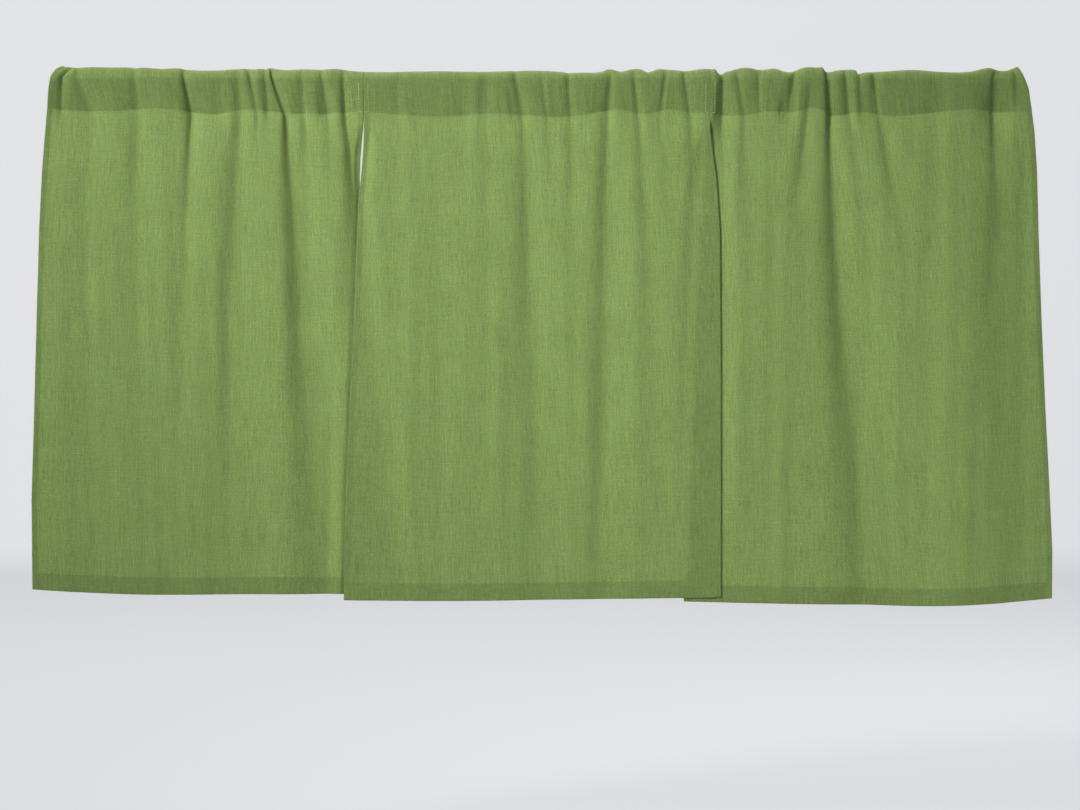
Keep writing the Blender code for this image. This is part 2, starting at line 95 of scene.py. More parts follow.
# The tables give the darkest line of a fold. Its bottom lies to the right of that by a
# fixed distance and a share of its width.
DARK_SHIFT, DARK_SHARE = 1.5, 0.45

# A fold is a trough. rod, seam, third and hem: its X there. hook: how far its top end turns
# aside at the top edge. d_rod, d_seam, d_third and d_hem: its depth behind the ridges there.
# left and right: half-widths at the heading. wide: half-width a third of the way down.
# tuck: how far its cloth is drawn sideways. dip: how far the top edge drops over it.
Fold = namedtuple(
    "Fold",
    "rod hook seam third hem d_rod d_seam d_third d_hem left right wide tuck dip",
)

LEFT_FOLDS = (
    Fold(-480, 9, -484, -489, -495, 3.6, 0.6, 0.0, 0.0, 2.5, 4.0, 12, 0, 2.5),
    Fold(-466, 0, -452, -458, -464, 1.6, 1.2, 0.0, 0.0, 5.0, 6.0, 14, 0, 0.0),
    Fold(-409, 0, -406, -417, -422, 1.7, 2.4, 2.0, 1.0, 5.0, 6.0, 18, 0, 2.0),
    Fold(-358, -1, -352, -360, -374, 3.3, 3.8, 2.3, 0.8, 3.0, 5.5, 9, -1, 0.8),
    Fold(-306, 0, -306, -315, -329, 2.0, 3.0, 5.4, 3.2, 6.0, 7.0, 15, 0, 1.2),
    Fold(-293, -3, -286, -293, -303, 3.2, 1.8, 0.0, 0.0, 2.5, 3.5, 12, 0, 0.6),
    Fold(-278, 0, -276, -276, -284, 2.6, 1.0, 0.0, 0.0, 3.0, 3.0, 12, 0, 3.2),
    Fold(-269, -2, -257, -252, -234, 5.4, 5.7, 8.0, 4.8, 2.8, 6.0, 15, -2, 0.6),
    Fold(-242, 0, -239, -238, -214, 1.4, 2.6, 1.8, 1.0, 3.5, 3.5, 15, 0, 0.0),
    Fold(-221, -1, -216, -213, -190, 2.2, 1.8, 0.8, 0.6, 3.0, 3.5, 14, 0, 0.8),
    Fold(-200, 0, -199, -184, -163, 3.0, 4.4, 1.6, 0.0, 2.6, 5.5, 8, 0, 0.0),
)

MIDDLE_FOLDS = (
    Fold(-122, 0, -121, -126, -130, 1.2, 1.0, 0.6, 0.3, 12., 12., 20, 0, 0.4),
    Fold(-88, 0, -89, -88, -90, 1.0, 1.0, 0.6, 0.2, 10., 10., 20, 0, 0.2),
    Fold(-60, 0, -62, -56, -52, 0.9, 0.9, 0.8, 0.4, 8.0, 8.0, 20, 0, 0.3),
    Fold(-29, 0, -21, -19, -9, 2.6, 2.3, 4.4, 3.0, 3.6, 7.0, 14, 0, 0.4),
    Fold(-2, 0, 2, 6, 14, 1.6, 1.5, 0.2, 0.0, 4.0, 4.0, 12, 0, 0.0),
    Fold(24, 0, 27, 25, 27, 2.4, 2.1, 0.9, 0.0, 3.0, 5.5, 11, 0, 1.4),
    Fold(66, -3, 63, 57, 49, 2.7, 3.0, 4.0, 1.6, 3.2, 4.6, 13, 1, 0.4),
    Fold(90, 2, 94, 101, 112, 2.2, 2.2, 1.8, 0.4, 3.8, 4.0, 9, 0, 0.0),
    Fold(121, 1, 116, 124, 138, 2.1, 1.4, 0.3, 0.0, 3.6, 2.8, 12, 0, 0.0),
    Fold(140, 0, 146, 152, 160, 2.5, 1.7, 0.8, 0.6, 3.0, 4.4, 12, 0, 1.0),
)

RIGHT_FOLDS = (
    Fold(178, 0, 178, 176, 172, 4.0, 4.1, 1.6, 0.0, 2.8, 4.5, 10, 0, 1.6),
    Fold(193, 0, 199, 196, 192, 2.4, 2.6, 0.6, 0.3, 4.0, 4.6, 12, 0, 0.0),
    Fold(214, 0, 216, 218, 216, 2.2, 0.9, 0.3, 0.0, 2.8, 3.5, 12, 0, 1.0),
    Fold(249, 2, 243, 230, 230, 3.5, 1.4, 0.8, 0.0, 4.0, 5.0, 13, 0, 1.2),
    Fold(266, 0, 263, 245, 240, 0.4, 2.6, 1.8, 0.8, 3.5, 4.4, 14, 0, 0.0),
    Fold(284, 0, 286, 288, 318, 6.9, 6.4, 9.6, 8.2, 2.4, 4.6, 15, -2, 1.6),
    Fold(301, 0, 306, 320, 346, 3.2, 3.0, 2.8, 2.0, 3.2, 3.8, 13, 0, 0.0),
    Fold(315, 2, 317, 334, 362, 2.6, 0.5, 0.9, 0.8, 2.8, 3.0, 14, 0, 2.2),
    Fold(329, 0, 335, 357, 384, 3.4, 3.6, 1.6, 0.8, 3.5, 5.5, 14, 0, 0.0),
    Fold(449, 5, 449, 452, 460, 5.5, 5.9, 4.4, 2.0, 3.4, 13., 20, 0, 1.5),
    Fold(471, -3, 472, 477, 490, 3.6, 1.6, 0.0, 0.0, 3.5, 3.5, 11, 0, 2.4),
)

# Side edges: down is the height below the top edge, x the place, back how far behind the
# plane of the curtain the edge hangs.
Edge = namedtuple("Edge", "down x back")

LEFT_OUTER = (
    Edge(-3.5, -477.5, 0), Edge(1.5, -484.5, 0), Edge(9, -488.6, 0), Edge(21, -491.2, 0),
    Edge(41, -493.4, 0), Edge(61, -495, 0), Edge(101, -498.2, 0), Edge(161, -501.3, 0),
    Edge(241, -503.7, 0), Edge(341, -506.5, 0), Edge(431, -509.3, 0), Edge(524, -508.5, 0),
)
LEFT_INNER = (
    Edge(-4, -177.15, 0), Edge(50, -177.15, 0), Edge(57, -177.5, 0.6), Edge(71, -179.3, 2.4),
    Edge(89, -181, 3.6), Edge(110, -181.8, 4.4), Edge(130, -181.6, 5), Edge(208, -176, 4.0),
    Edge(300, -165, 2.8), Edge(420, -150.5, 2.2), Edge(524, -140, 2.0),
)
MIDDLE_LEFT = (
    Edge(-4, -176.85, 0), Edge(50, -176.85, 0), Edge(57, -176.85, -0.4), Edge(71, -177.2, -1.2),
    Edge(89, -178.3, -1.6), Edge(109, -180, -1.6), Edge(130, -182.2, -1.6),
    Edge(151, -183, -1.6), Edge(261, -187, -1.6), Edge(331, -190.8, -1.6),
    Edge(431, -195, -1.6), Edge(531, -197, -1.6),
)
MIDDLE_RIGHT = (
    Edge(-4, 168.85, 0), Edge(50, 168.85, 0), Edge(60, 168.85, -1.0), Edge(81, 171.5, -0.8),
    Edge(111, 175.5, -0.5), Edge(161, 179, -0.3), Edge(300, 180, -0.2), Edge(531, 180, -0.2),
)
RIGHT_INNER = (
    Edge(-4, 169.15, 0), Edge(50, 169.15, 0), Edge(60, 169.15, 1.8), Edge(81, 161, 1.8),
    Edge(151, 156, 1.6), Edge(231, 151, 1.5), Edge(331, 147, 1.5), Edge(431, 144, 1.5),
    Edge(535, 143, 1.5),
)
RIGHT_OUTER = (
    Edge(-3.5, 475, 0), Edge(1, 477.5, 0), Edge(9, 481.2, 0), Edge(21, 486.3, 0),
    Edge(41, 490, 0), Edge(61, 492.9, 1), Edge(101, 496.5, 5), Edge(161, 498.9, 8),
    Edge(261, 502.7, 9), Edge(341, 506.3, 9), Edge(421, 510.3, 8.5), Edge(481, 513, 8),
    Edge(535, 512.6, 7.5),
)

# The top edge as it lies over the rod, and the line of stitching that closes the pocket
Height = namedtuple("Height", "x z")

TOP_EDGE = (
    Height(-477.5, 3.4), Height(-463, 1.6), Height(-453, 2.2), Height(-425, 1.9),
    Height(-398, 1.9), Height(-380, 0.5), Height(-362, 1.0), Height(-352, -0.4),
    Height(-320, -1.0), Height(-296, 0.9), Height(-287, 0.2), Height(-272, 1.5),
    Height(-255, -0.8), Height(-240, -0.1), Height(-220, -0.3), Height(-205, 0.4),
    Height(-188, -1.8), Height(-150, -2.8), Height(-118, -1.9), Height(-60, -2.4),
    Height(0, -1.5), Height(38, -3.3), Height(61, -2.0), Height(67, 0.2),
    Height(79, -2.3), Height(92, 0.1), Height(100, 0.0), Height(107, -3.1),
    Height(117, 0.2), Height(128, -0.5), Height(150, -1.2), Height(160, 0.3),
    Height(170, 0.1), Height(174.5, -0.4), Height(177, -3.9), Height(184, -2.6),
    Height(203, 1.6), Height(222, -0.4), Height(233, 0.8), Height(246, -2.8),
    Height(265, 2.2), Height(277, 1.8), Height(281.5, 1.9), Height(284, -1.6),
    Height(287, -2.0), Height(300, -0.6), Height(312, -0.4), Height(315, -0.9),
    Height(317, -3.4), Height(322, -3.2), Height(340, -2.4), Height(372, -0.6),
    Height(400, -2.6), Height(430, -2.4), Height(447, 1.6), Height(466, -0.8),
    Height(475, 3.3),
)
POCKET_SEAM = (
    Height(-494, -40), Height(-470, -42), Height(-430, -42.5), Height(-380, -40),
    Height(-350, -43), Height(-330, -45.5), Height(-293, -41), Height(-257, -44),
    Height(-225, -45.4), Height(-177, -43.5), Height(-150, -45.5), Height(-105, -48.2),
    Height(-65, -45.5), Height(-20, -46.2), Height(30, -48), Height(60, -43),
    Height(78, -41), Height(103, -45.6), Height(127, -41.2), Height(150, -44),
    Height(169, -44), Height(187, -46.8), Height(235, -43), Height(250, -43.6),
    Height(271, -39), Height(295, -46.6), Height(318, -43.5), Height(352, -47.4),
    Height(400, -43.5), Height(432, -41), Height(460, -43), Height(490, -43.5),
)

# Bottom edges: across runs from 0 at the panel's left edge to 1 at its right
Bottom = namedtuple("Bottom", "across z")

LEFT_BOTTOM = (
    Bottom(0, -520.4), Bottom(0.12, -523), Bottom(0.26, -525.2), Bottom(0.6, -525.3),
    Bottom(1, -525),
)
MIDDLE_BOTTOM = (
    Bottom(0, -531.2), Bottom(0.3, -531.8), Bottom(0.6, -530.4), Bottom(1, -528.4),
)
RIGHT_BOTTOM = (
    Bottom(0, -532.6), Bottom(0.28, -534.8), Bottom(0.48, -536), Bottom(0.64, -537.6),
    Bottom(0.82, -535.4), Bottom(1, -530),
)

# How far the sheet between the folds stands forward, at the heights of the fold table
LIFT_SEAM, LIFT_THIRD, LIFT_HEM = 3.4, 2.6, 0.8

# How wide each side edge's push forward or back reaches, at SLIT_TOP, THIRD and HEM
EDGE_REACH = (14, 24, 30)
FREE_REACH = (30, 70, 80)

# How deep and how wide the left panel dips just before it goes behind the middle panel
TUCK, TUCK_REACH = 1.3, 4.5

# left and right are a panel's edges. left_next and right_next are the neighbour's edge that
# each is sewn to down to the slit, or None at a free side of the curtain. seed gives the
# panel its own small puckers and waves.
Panel = namedtuple("Panel", "name folds left right bottom left_next right_next seed")

PANELS = (
    Panel("left_panel", LEFT_FOLDS, LEFT_OUTER, LEFT_INNER, LEFT_BOTTOM, None, MIDDLE_LEFT, 11),
    Panel(
        "middle_panel", MIDDLE_FOLDS, MIDDLE_LEFT, MIDDLE_RIGHT, MIDDLE_BOTTOM,
        LEFT_INNER, RIGHT_INNER, 23,
    ),
    Panel(
        "right_panel", RIGHT_FOLDS, RIGHT_INNER, RIGHT_OUTER, RIGHT_BOTTOM,
        MIDDLE_RIGHT, None, 37,
    ),
)

# Each panel's linen is taken from a place of its own, this far along for each step of seed
TEXTURE_APART = 1000

# Columns of the cloth: distances from a side edge, and the pitch between the folds
EDGE_COLUMNS = (0.0, 0.36, 0.9, 1.6, 2.4, 3.2, 4.0, 4.8, 6.0)
COLUMN_PITCH = 1.9
EASED = 0.35         # how strongly the columns gather towards the folds
FOLD_MARGIN = 1.0    # the least distance between the edge's columns and a fold's

# Rows of the cloth: heights above the bottom edge, distances below the pocket's seam, the
# pitch between them, and the shares and angles of the pocket
BOTTOM_ROWS = (0.0, 0.8, 1.6, 2.6, 4.2, 6.2, 8.4, 10.6, 12.8, 14.3, 15.3, 16.3, 18.0, 20.5, 23.5)
SEAM_ROWS = (26.0, 22.0, 18.5, 15.0, 12.0, 9.5, 7.2, 5.2, 3.5, 2.1, 1.0, 0.0)
ROW_PITCH = 4.6
POCKET_SHARES = (0.03, 0.07, 0.12, 0.19, 0.27, 0.36, 0.46, 0.56, 0.66, 0.76, 0.85, 0.93)
ARCH_STEPS = 19


def curve(places, values, at):
    """A smooth curve through (place, value) pairs, read at the places in at."""
    places = np.asarray(places, float)
    values = np.asarray(values, float)
    slopes = np.gradient(values, places)
    at = np.clip(at, places[0], places[-1])
    left = np.clip(np.searchsorted(places, at, side="right") - 1, 0, len(places) - 2)
    span = places[left + 1] - places[left]
    t = (at - places[left]) / span
    return (
        (2 * t**3 - 3 * t**2 + 1) * values[left]
        + (t**3 - 2 * t**2 + t) * span * slopes[left]
        + (3 * t**2 - 2 * t**3) * values[left + 1]
        + (t**3 - t**2) * span * slopes[left + 1]
    )


def straight(places, values, at):
    return np.interp(at, places, values)


def smooth(t):
    t = np.clip(t, 0.0, 1.0)
    return t * t * (3 - 2 * t)


def column(rows, name):
    return [getattr(row, name) for row in rows]


def bump(off, half):
    """1 at the middle of a trough or a ridge, falling to 0 on both sides."""
    return (1 + (off / half) ** 2) ** TROUGH_POWER


def fold_places(fold, down):
    levels = (CROWN, ROD, SEAM, THIRD, HEM)
    places = (fold.rod + fold.hook, fold.rod, fold.seam, fold.third, fold.hem)
    dark = straight(levels, places, down)
    return dark + DARK_SHIFT + DARK_SHARE * fold_width(fold.left, fold.wide, down)


def fold_depth(fold, down):
    levels = (ROD, SEAM, THIRD, HEM)
    return curve(levels, (fold.d_rod, fold.d_seam, fold.d_third, fold.d_hem), down)


def fold_width(half, wide, down):
    """A crease opens out on its way down."""
    halves = (half, SEAM_WIDER * half, wide, HEM_WIDER * wide)
    return straight((ROD, SEAM, THIRD, HEM), halves, down)


def trough(fold, x, down):
    off = x - fold_places(fold, down)
    half = np.where(
        off < 0,
        fold_width(fold.left, fold.wide, down),
        fold_width(fold.right, GENTLER_SIDE * fold.wide, down),
    )
    return bump(off, half)


def edge_place(edge, down):
    return straight(column(edge, "down"), column(edge, "x"), down)


def edge_back(edge, down):
    return straight(column(edge, "down"), column(edge, "back"), down)


def lap(edge, neighbour, down):
    """How wide a panel lies over or under its neighbour."""
    if neighbour is None:
        return np.zeros_like(down)
    return np.abs(edge_place(edge, down) - edge_place(neighbour, down))


def calm(panel, x, down):
    """0 at a sewn or overlapping edge, where the folds die out, and 1 away from it."""
    reach = straight((0, SLIT_TOP, THIRD), (STIFF_SEAM, STIFF_SEAM, STIFF_LAP), down)
    share = np.ones_like(x)
    if panel.left_next:
        off = x - edge_place(panel.left, down) - lap(panel.left, panel.left_next, down)
        share = share * smooth(off / reach)
    if panel.right_next:
        off = edge_place(panel.right, down) - x - lap(panel.right, panel.right_next, down)
        share = share * smooth(off / reach)
    return share


def hang_back(panel, x, down):
    """How far the sheet is pushed back or forward by its edges where the panels overlap."""
    from_left = x - edge_place(panel.left, down)
    from_right = edge_place(panel.right, down) - x
    left_back = edge_back(panel.left, down)
    right_back = edge_back(panel.right, down)
    if panel.left_next and panel.right_next:
        across = from_left / (from_left + from_right)
        return left_back * (1 - across) + right_back * across
    levels = (SLIT_TOP, THIRD, HEM)
    left_reach = straight(levels, EDGE_REACH if panel.left_next else FREE_REACH, down)
    right_reach = straight(levels, EDGE_REACH if panel.right_next else FREE_REACH, down)
    past_left = from_left - lap(panel.left, panel.left_next, down)
    past_right = from_right - lap(panel.right, panel.right_next, down)
    left_share = smooth(past_left / left_reach)
    right_share = smooth(past_right / right_reach)
    pushed = left_back * (1 - left_share) + right_back * (1 - right_share)
    if panel.right_next:
        begun = smooth((down - SLIT_TOP) / SLIT_EASE)
        pushed = pushed + TUCK * begun * (1 - smooth(past_right / TUCK_REACH))
    return pushed


def folds_at(panel, x, down):
    """(depth behind the ridges, sideways pull) of all the panel's folds."""
    depth = np.zeros_like(x)
    pull = np.zeros_like(x)
    for fold in panel.folds:
        shape = trough(fold, x, down)
        depth += fold_depth(fold, down) * shape
        pull += fold.tuck * shape * straight((SEAM, THIRD), (1, 0), down)
    share = calm(panel, x, down)
    return depth * share, pull * share


def free_depth(panel, x, down):
    """Y of the single sheet, below the pocket."""
    depth, pull = folds_at(panel, x, down)
    lift = straight((SEAM, THIRD, HEM), (LIFT_SEAM, LIFT_THIRD, LIFT_HEM), down)
    sewn = 1 - smooth((down - SLIT_TOP) / SLIT_EASE)
    share = np.maximum(calm(panel, x, down), sewn)
    return depth - lift * share + hang_back(panel, x, down), pull


def ridge_height(panel, x, down):
    """How far the pocket's front stands off the rod: nothing at the bottom of a deep fold."""
    depth, pull = folds_at(panel, x, down)
    share = calm(panel, x, down)
    height = (POCKET_RIDGE - depth) * share + SEAM_LINE_RIDGE * (1 - share)
    return 0.5 * (height + np.sqrt(height**2 + RIDGE_SOFT**2)), pull


def top_height(panel, x):
    height = curve(column(TOP_EDGE, "x"), column(TOP_EDGE, "z"), x)
    for fold in panel.folds:
        height = height - DIP_SHARE * fold.dip * trough(fold, x, np.full_like(x, ROD))
    return height - SOLID_SHEET / 2


def anchors(panel, down):
    """Places that the columns keep to, one row for each: the hems' columns and the folds."""
    left = edge_place(panel.left, down) + EDGE_INSET
    right = edge_place(panel.right, down) - EDGE_INSET
    margin = EDGE_COLUMNS[-1] + FOLD_MARGIN
    rows = [left + off for off in EDGE_COLUMNS]
    for fold in panel.folds:
        rows.append(np.clip(fold_places(fold, down), left + margin, right - margin))
    rows += [right - off for off in reversed(EDGE_COLUMNS)]
    return np.array(rows)


def column_list(panel):
    """Each column, as the anchor it follows and its share of the way to the next."""
    heading = anchors(panel, np.array([SEAM]))[:, 0]
    last_edge = len(EDGE_COLUMNS) - 1
    found = []
    for k in range(len(heading) - 1):
        inside = last_edge <= k < len(heading) - 1 - last_edge
        width = heading[k + 1] - heading[k]
        parts = max(2, round(width / COLUMN_PITCH)) if inside else 1
        for part in range(parts):
            share = part / parts
            found.append((k, EASED * smooth(share) + (1 - EASED) * share))
    found.append((len(heading) - 2, 1.0))
    return found


def places_of(panel, columns, down):
    """X of each column at the height that down gives for it."""
    rows = anchors(panel, down)
    index = np.array([k for k, _ in columns])
    share = np.array([part for _, part in columns])
    here = np.arange(len(columns))
    return rows[index, here] * (1 - share) + rows[index + 1, here] * share


# The small forms that only the fine cloth has. A hollow is a place where the pocket's cloth
# sags below the rod: half is its width on each side, depth how far the stitching falls back
# and below how fast it fades under the stitching. A pucker is a short crease at the pocket's
# stitching that fades above and below it, a wave is a soft roll of the whole sheet.
Hollow = namedtuple("Hollow", "x half depth below")

HOLLOWS = (
    Hollow(-466, 26, 3.0, 12), Hollow(-410, 12, 1.5, 10), Hollow(-334, 22, 4.2, 12),
    Hollow(-268, 9, 2.6, 9), Hollow(-241, 6, 3.0, 5), Hollow(-214, 8, 3.4, 6),
    Hollow(-150, 12, 1.0, 10), Hollow(-70, 20, 1.2, 10), Hollow(-22, 9, 2.0, 8),
    Hollow(22, 10, 1.8, 8), Hollow(60, 12, 2.2, 8), Hollow(92, 10, 1.8, 8),
    Hollow(184, 13, 3.2, 12), Hollow(246, 9, 3.2, 10), Hollow(300, 12, 3.8, 10),
    Hollow(328, 10, 3.2, 10), Hollow(372, 34, 2.6, 12), Hollow(456, 16, 3.6, 12),
)

HOLLOW_FLAT = 1.4    # above 1, so that the middle of a hollow is level
HOLLOW_ABOVE = 1.0   # how far above the stitching a hollow begins

Pucker = namedtuple("Pucker", "x lean half depth above below")

# The least and the most of each of a pucker's sizes, and of the distance to the next
PUCKER_LEAN = (-0.12, 0.12)
PUCKER_HALF = (0.9, 2.2)
PUCKER_DEPTH = (-0.25, 0.55)
PUCKER_ABOVE = (5, 14)
PUCKER_BELOW = (10, 38)
PUCKER_STEP = (3.5, 9)
PUCKER_MARGIN = 6    # the puckers keep this far from a panel's side edges

Wave = namedtuple("Wave", "length lean height phase")

WAVE_LENGTHS = (17, 23, 31, 43, 57, 79)
WAVE_LEAN = (-0.05, 0.05)
WAVE_STEEPNESS = 0.008   # a wave's height as a share of its length
WAVE_UNEVEN = (0.6, 1.2)
SWELL_MEAN, SWELL_CHANGE = 0.6, 0.4  # a wave grows and fades on its way down
SWELL_LENGTH = 2.3       # by one radian over this many of its lengths


def make_puckers(panel):
    rng = np.random.default_rng(panel.seed)
    x = edge_place(panel.left, SEAM) + PUCKER_MARGIN
    end = edge_place(panel.right, SEAM) - PUCKER_MARGIN
    found = []
    while x < end:
        found.append(
            Pucker(
                x, rng.uniform(*PUCKER_LEAN), rng.uniform(*PUCKER_HALF),
                rng.uniform(*PUCKER_DEPTH), rng.uniform(*PUCKER_ABOVE), rng.uniform(*PUCKER_BELOW),
            )
        )
        x += rng.uniform(*PUCKER_STEP)
    return found


def make_waves(panel):
    rng = np.random.default_rng(panel.seed + 1)
    return [
        Wave(
            length, rng.uniform(*WAVE_LEAN),
            WAVE_STEEPNESS * length * rng.uniform(*WAVE_UNEVEN), rng.uniform(0, 2 * np.pi),
        )
        for length in WAVE_LENGTHS
    ]


def small_relief(panel, x, down, seam_down):
    """Y of the hollows, puckers and waves, at places x and heights down."""
    below = down - seam_down
    relief = np.zeros_like(x)
    for hollow in HOLLOWS:
        fade = np.where(below < -HOLLOW_ABOVE, 0, np.exp(-np.abs(below) / hollow.below))
        relief += hollow.depth * smooth(HOLLOW_FLAT - np.abs(x - hollow.x) / hollow.half) * fade
    for pucker in make_puckers(panel):
        reach = np.where(below > 0, pucker.below, pucker.above)
        fade = np.exp(-np.abs(below) / reach)
        relief += pucker.depth * bump(x - pucker.x - pucker.lean * below, pucker.half) * fade
    for wave in make_waves(panel):
        roll = 2 * np.pi * (x + wave.lean * down) / wave.length + wave.phase
        growth = down / (SWELL_LENGTH * wave.length) + 2 * wave.phase
        swell = SWELL_MEAN + SWELL_CHANGE * np.sin(growth)
        relief += wave.height * swell * np.sin(roll)
    return relief * calm(panel, x, down)


def stack_height(off):
    """Thickness of a side hem's layers behind the sheet, at a distance from the edge."""
    return 2 * LAYER * (1 - smooth((off - SIDE_HEM - STACK_BEYOND) / STACK_EASE))


def behind(row):
    """Unit vectors pointing to the back of a row of points, level."""
    along = np.gradient(row, axis=0)
    back = np.stack([-along[:, 1], along[:, 0], np.zeros(len(row))], axis=-1)
    return back / np.linalg.norm(back, axis=-1, keepdims=True)


# The sheet without its hems: points and outward normals by row and column, the distance of
# each column from its nearer side edge, the height of each row above the bottom edge, the
# row of the pocket's stitching, and the distance of each back row from the pocket's end.
Sheet = namedtuple("Sheet", "points normals off ups seam tips")


def bare_sheet(panel):
    columns = column_list(panel)
    count = len(columns)
    level = np.ones(count)
    seam_x = places_of(panel, columns, level * SEAM)
    seam_z = curve(column(POCKET_SEAM, "x"), column(POCKET_SEAM, "z"), seam_x)
    bottom_x = places_of(panel, columns, level * HEM)
    across = (bottom_x - bottom_x[0]) / (bottom_x[-1] - bottom_x[0])
    bottom_z = curve(column(panel.bottom, "across"), column(panel.bottom, "z"), across)
    off = np.minimum(seam_x - seam_x[0], seam_x[-1] - seam_x)
    length = seam_z - bottom_z
    mean = np.mean(length)

    between = mean - SEAM_ROWS[0] - BOTTOM_ROWS[-1]
    steps = round(between / ROW_PITCH)
    middle = [BOTTOM_ROWS[-1] + between * k / steps for k in range(1, steps)]
    ups = list(BOTTOM_ROWS) + middle + [mean - below for below in SEAM_ROWS]

    rows = []
    for up in ups:
        z = bottom_z + up / mean * length
        x = places_of(panel, columns, -z)
        y, pull = free_depth(panel, x, -z)
        y = y + small_relief(panel, x, -z, -seam_z)
        rows.append(np.stack([x + pull, y, z], axis=-1))
    seam_row = rows[-1]
    seam_index = len(rows) - 1

    rod_x = places_of(panel, columns, level * ROD)
    ridge, pull = ridge_height(panel, rod_x, level * ROD)
    stand = ROD_CLEAR + SOLID_SHEET / 2
    relief = small_relief(panel, rod_x, level * ROD, -seam_z)
    front_y = -stand - ridge + relief
    back_y = stand + BACK_SHARE * ridge - relief
    for share in POCKET_SHARES:
        z = seam_z + share * (ROD_Z - seam_z)
        x = places_of(panel, columns, -z) + pull
        y = seam_row[:, 1] * (1 - share) + front_y * share
        rows.append(np.stack([x, y, z], axis=-1))
    top_x = places_of(panel, columns, level * CROWN)
    top = top_height(panel, top_x)
    for angle in np.linspace(0, np.pi, ARCH_STEPS):
        z = ROD_Z + (top - ROD_Z) * np.sin(angle)
        x = places_of(panel, columns, -z) + pull * np.cos(angle)
        y = (front_y + back_y) / 2 - (back_y - front_y) / 2 * np.cos(angle)
        rows.append(np.stack([x, y, z], axis=-1))
    tip = seam_row + behind(seam_row) * (2 * LAYER + HEM_STACKS * stack_height(off))[:, None]
    tips = []
    for share in reversed(POCKET_SHARES):
        z = seam_z + share * (ROD_Z - seam_z)
        x = places_of(panel, columns, -z) + pull * share
        back = np.stack([x, back_y, z], axis=-1)
        row = tip * (1 - share) + back * share
        row[:, 2] = z
        rows.append(row)
        tips.append(TIP_BELOW + share * np.mean(ROD_Z - seam_z))
    for below in (0.0, TIP_BELOW):
        row = tip.copy()
        row[:, 2] = seam_z - below
        rows.append(row)
        tips.append(TIP_BELOW - below)

    points = np.array(rows)
    normals = np.cross(np.gradient(points, axis=1), np.gradient(points, axis=0))
    normals /= np.linalg.norm(normals, axis=-1, keepdims=True)
    return Sheet(points, normals, off, np.array(ups), seam_index, np.array(tips))


def sample(grid, rows, columns):
    """Values of a grid between its rows and columns."""
    rows = np.clip(rows, 0, len(grid) - 1)
    columns = np.clip(columns, 0, grid.shape[1] - 1)
    r = np.minimum(rows.astype(int), len(grid) - 2)
    c = np.minimum(columns.astype(int), grid.shape[1] - 2)
    dr = (rows - r)[..., None]
    dc = (columns - c)[..., None]
    low = grid[r, c] * (1 - dc) + grid[r, c + 1] * dc
    high = grid[r + 1, c] * (1 - dc) + grid[r + 1, c + 1] * dc
    return low * (1 - dr) + high * dr


# The turned cloth of the hems: columns and rows of its hidden end, measured back from the
# turn, those of its back face, measured from the cloth's edge, and the angles of its turns
SIDE_HIDDEN = (3.0, 1.0)
SIDE_BACK = (3.2, 2.0, 1.0)
HEM_HIDDEN = (6, 3, 1)
HEM_BACK = (13.5, 11, 8.5, 6, 3.5)
SHARP_TURN = (-90, -30, 30, 90)
TIGHT_TURN = (-90, -45, 0, 45, 90)
WIDE_TURN = (-90, -60, -30, 0, 30, 60, 90)
FIRST_FLAT_ROW = 3   # the rows below this one lie in the bottom edge's own turn


def turn(radius, inner, degrees):
    """(distance from the edge, distance behind the sheet) round a turned edge."""
    angle = np.radians(degrees)
    reach = radius - inner
    return radius - reach * np.cos(angle), radius - reach * np.sin(angle)


def side_profile():
    """The side hem's columns from its hidden end to the sheet, as (off, behind) pairs."""
    found = [(SIDE_HEM - hidden, LAYER) for hidden in SIDE_HIDDEN]
    for degrees in SHARP_TURN:
        inward, back = turn(LAYER / 2, 0, degrees)
        found.append((SIDE_HEM - inward, 2 * LAYER - back))
    found += [(off, 2 * LAYER) for off in (SIDE_STITCH, *SIDE_BACK)]
    for degrees in WIDE_TURN[:-1]:
        found.append(turn(LAYER, 0, degrees))
    return found


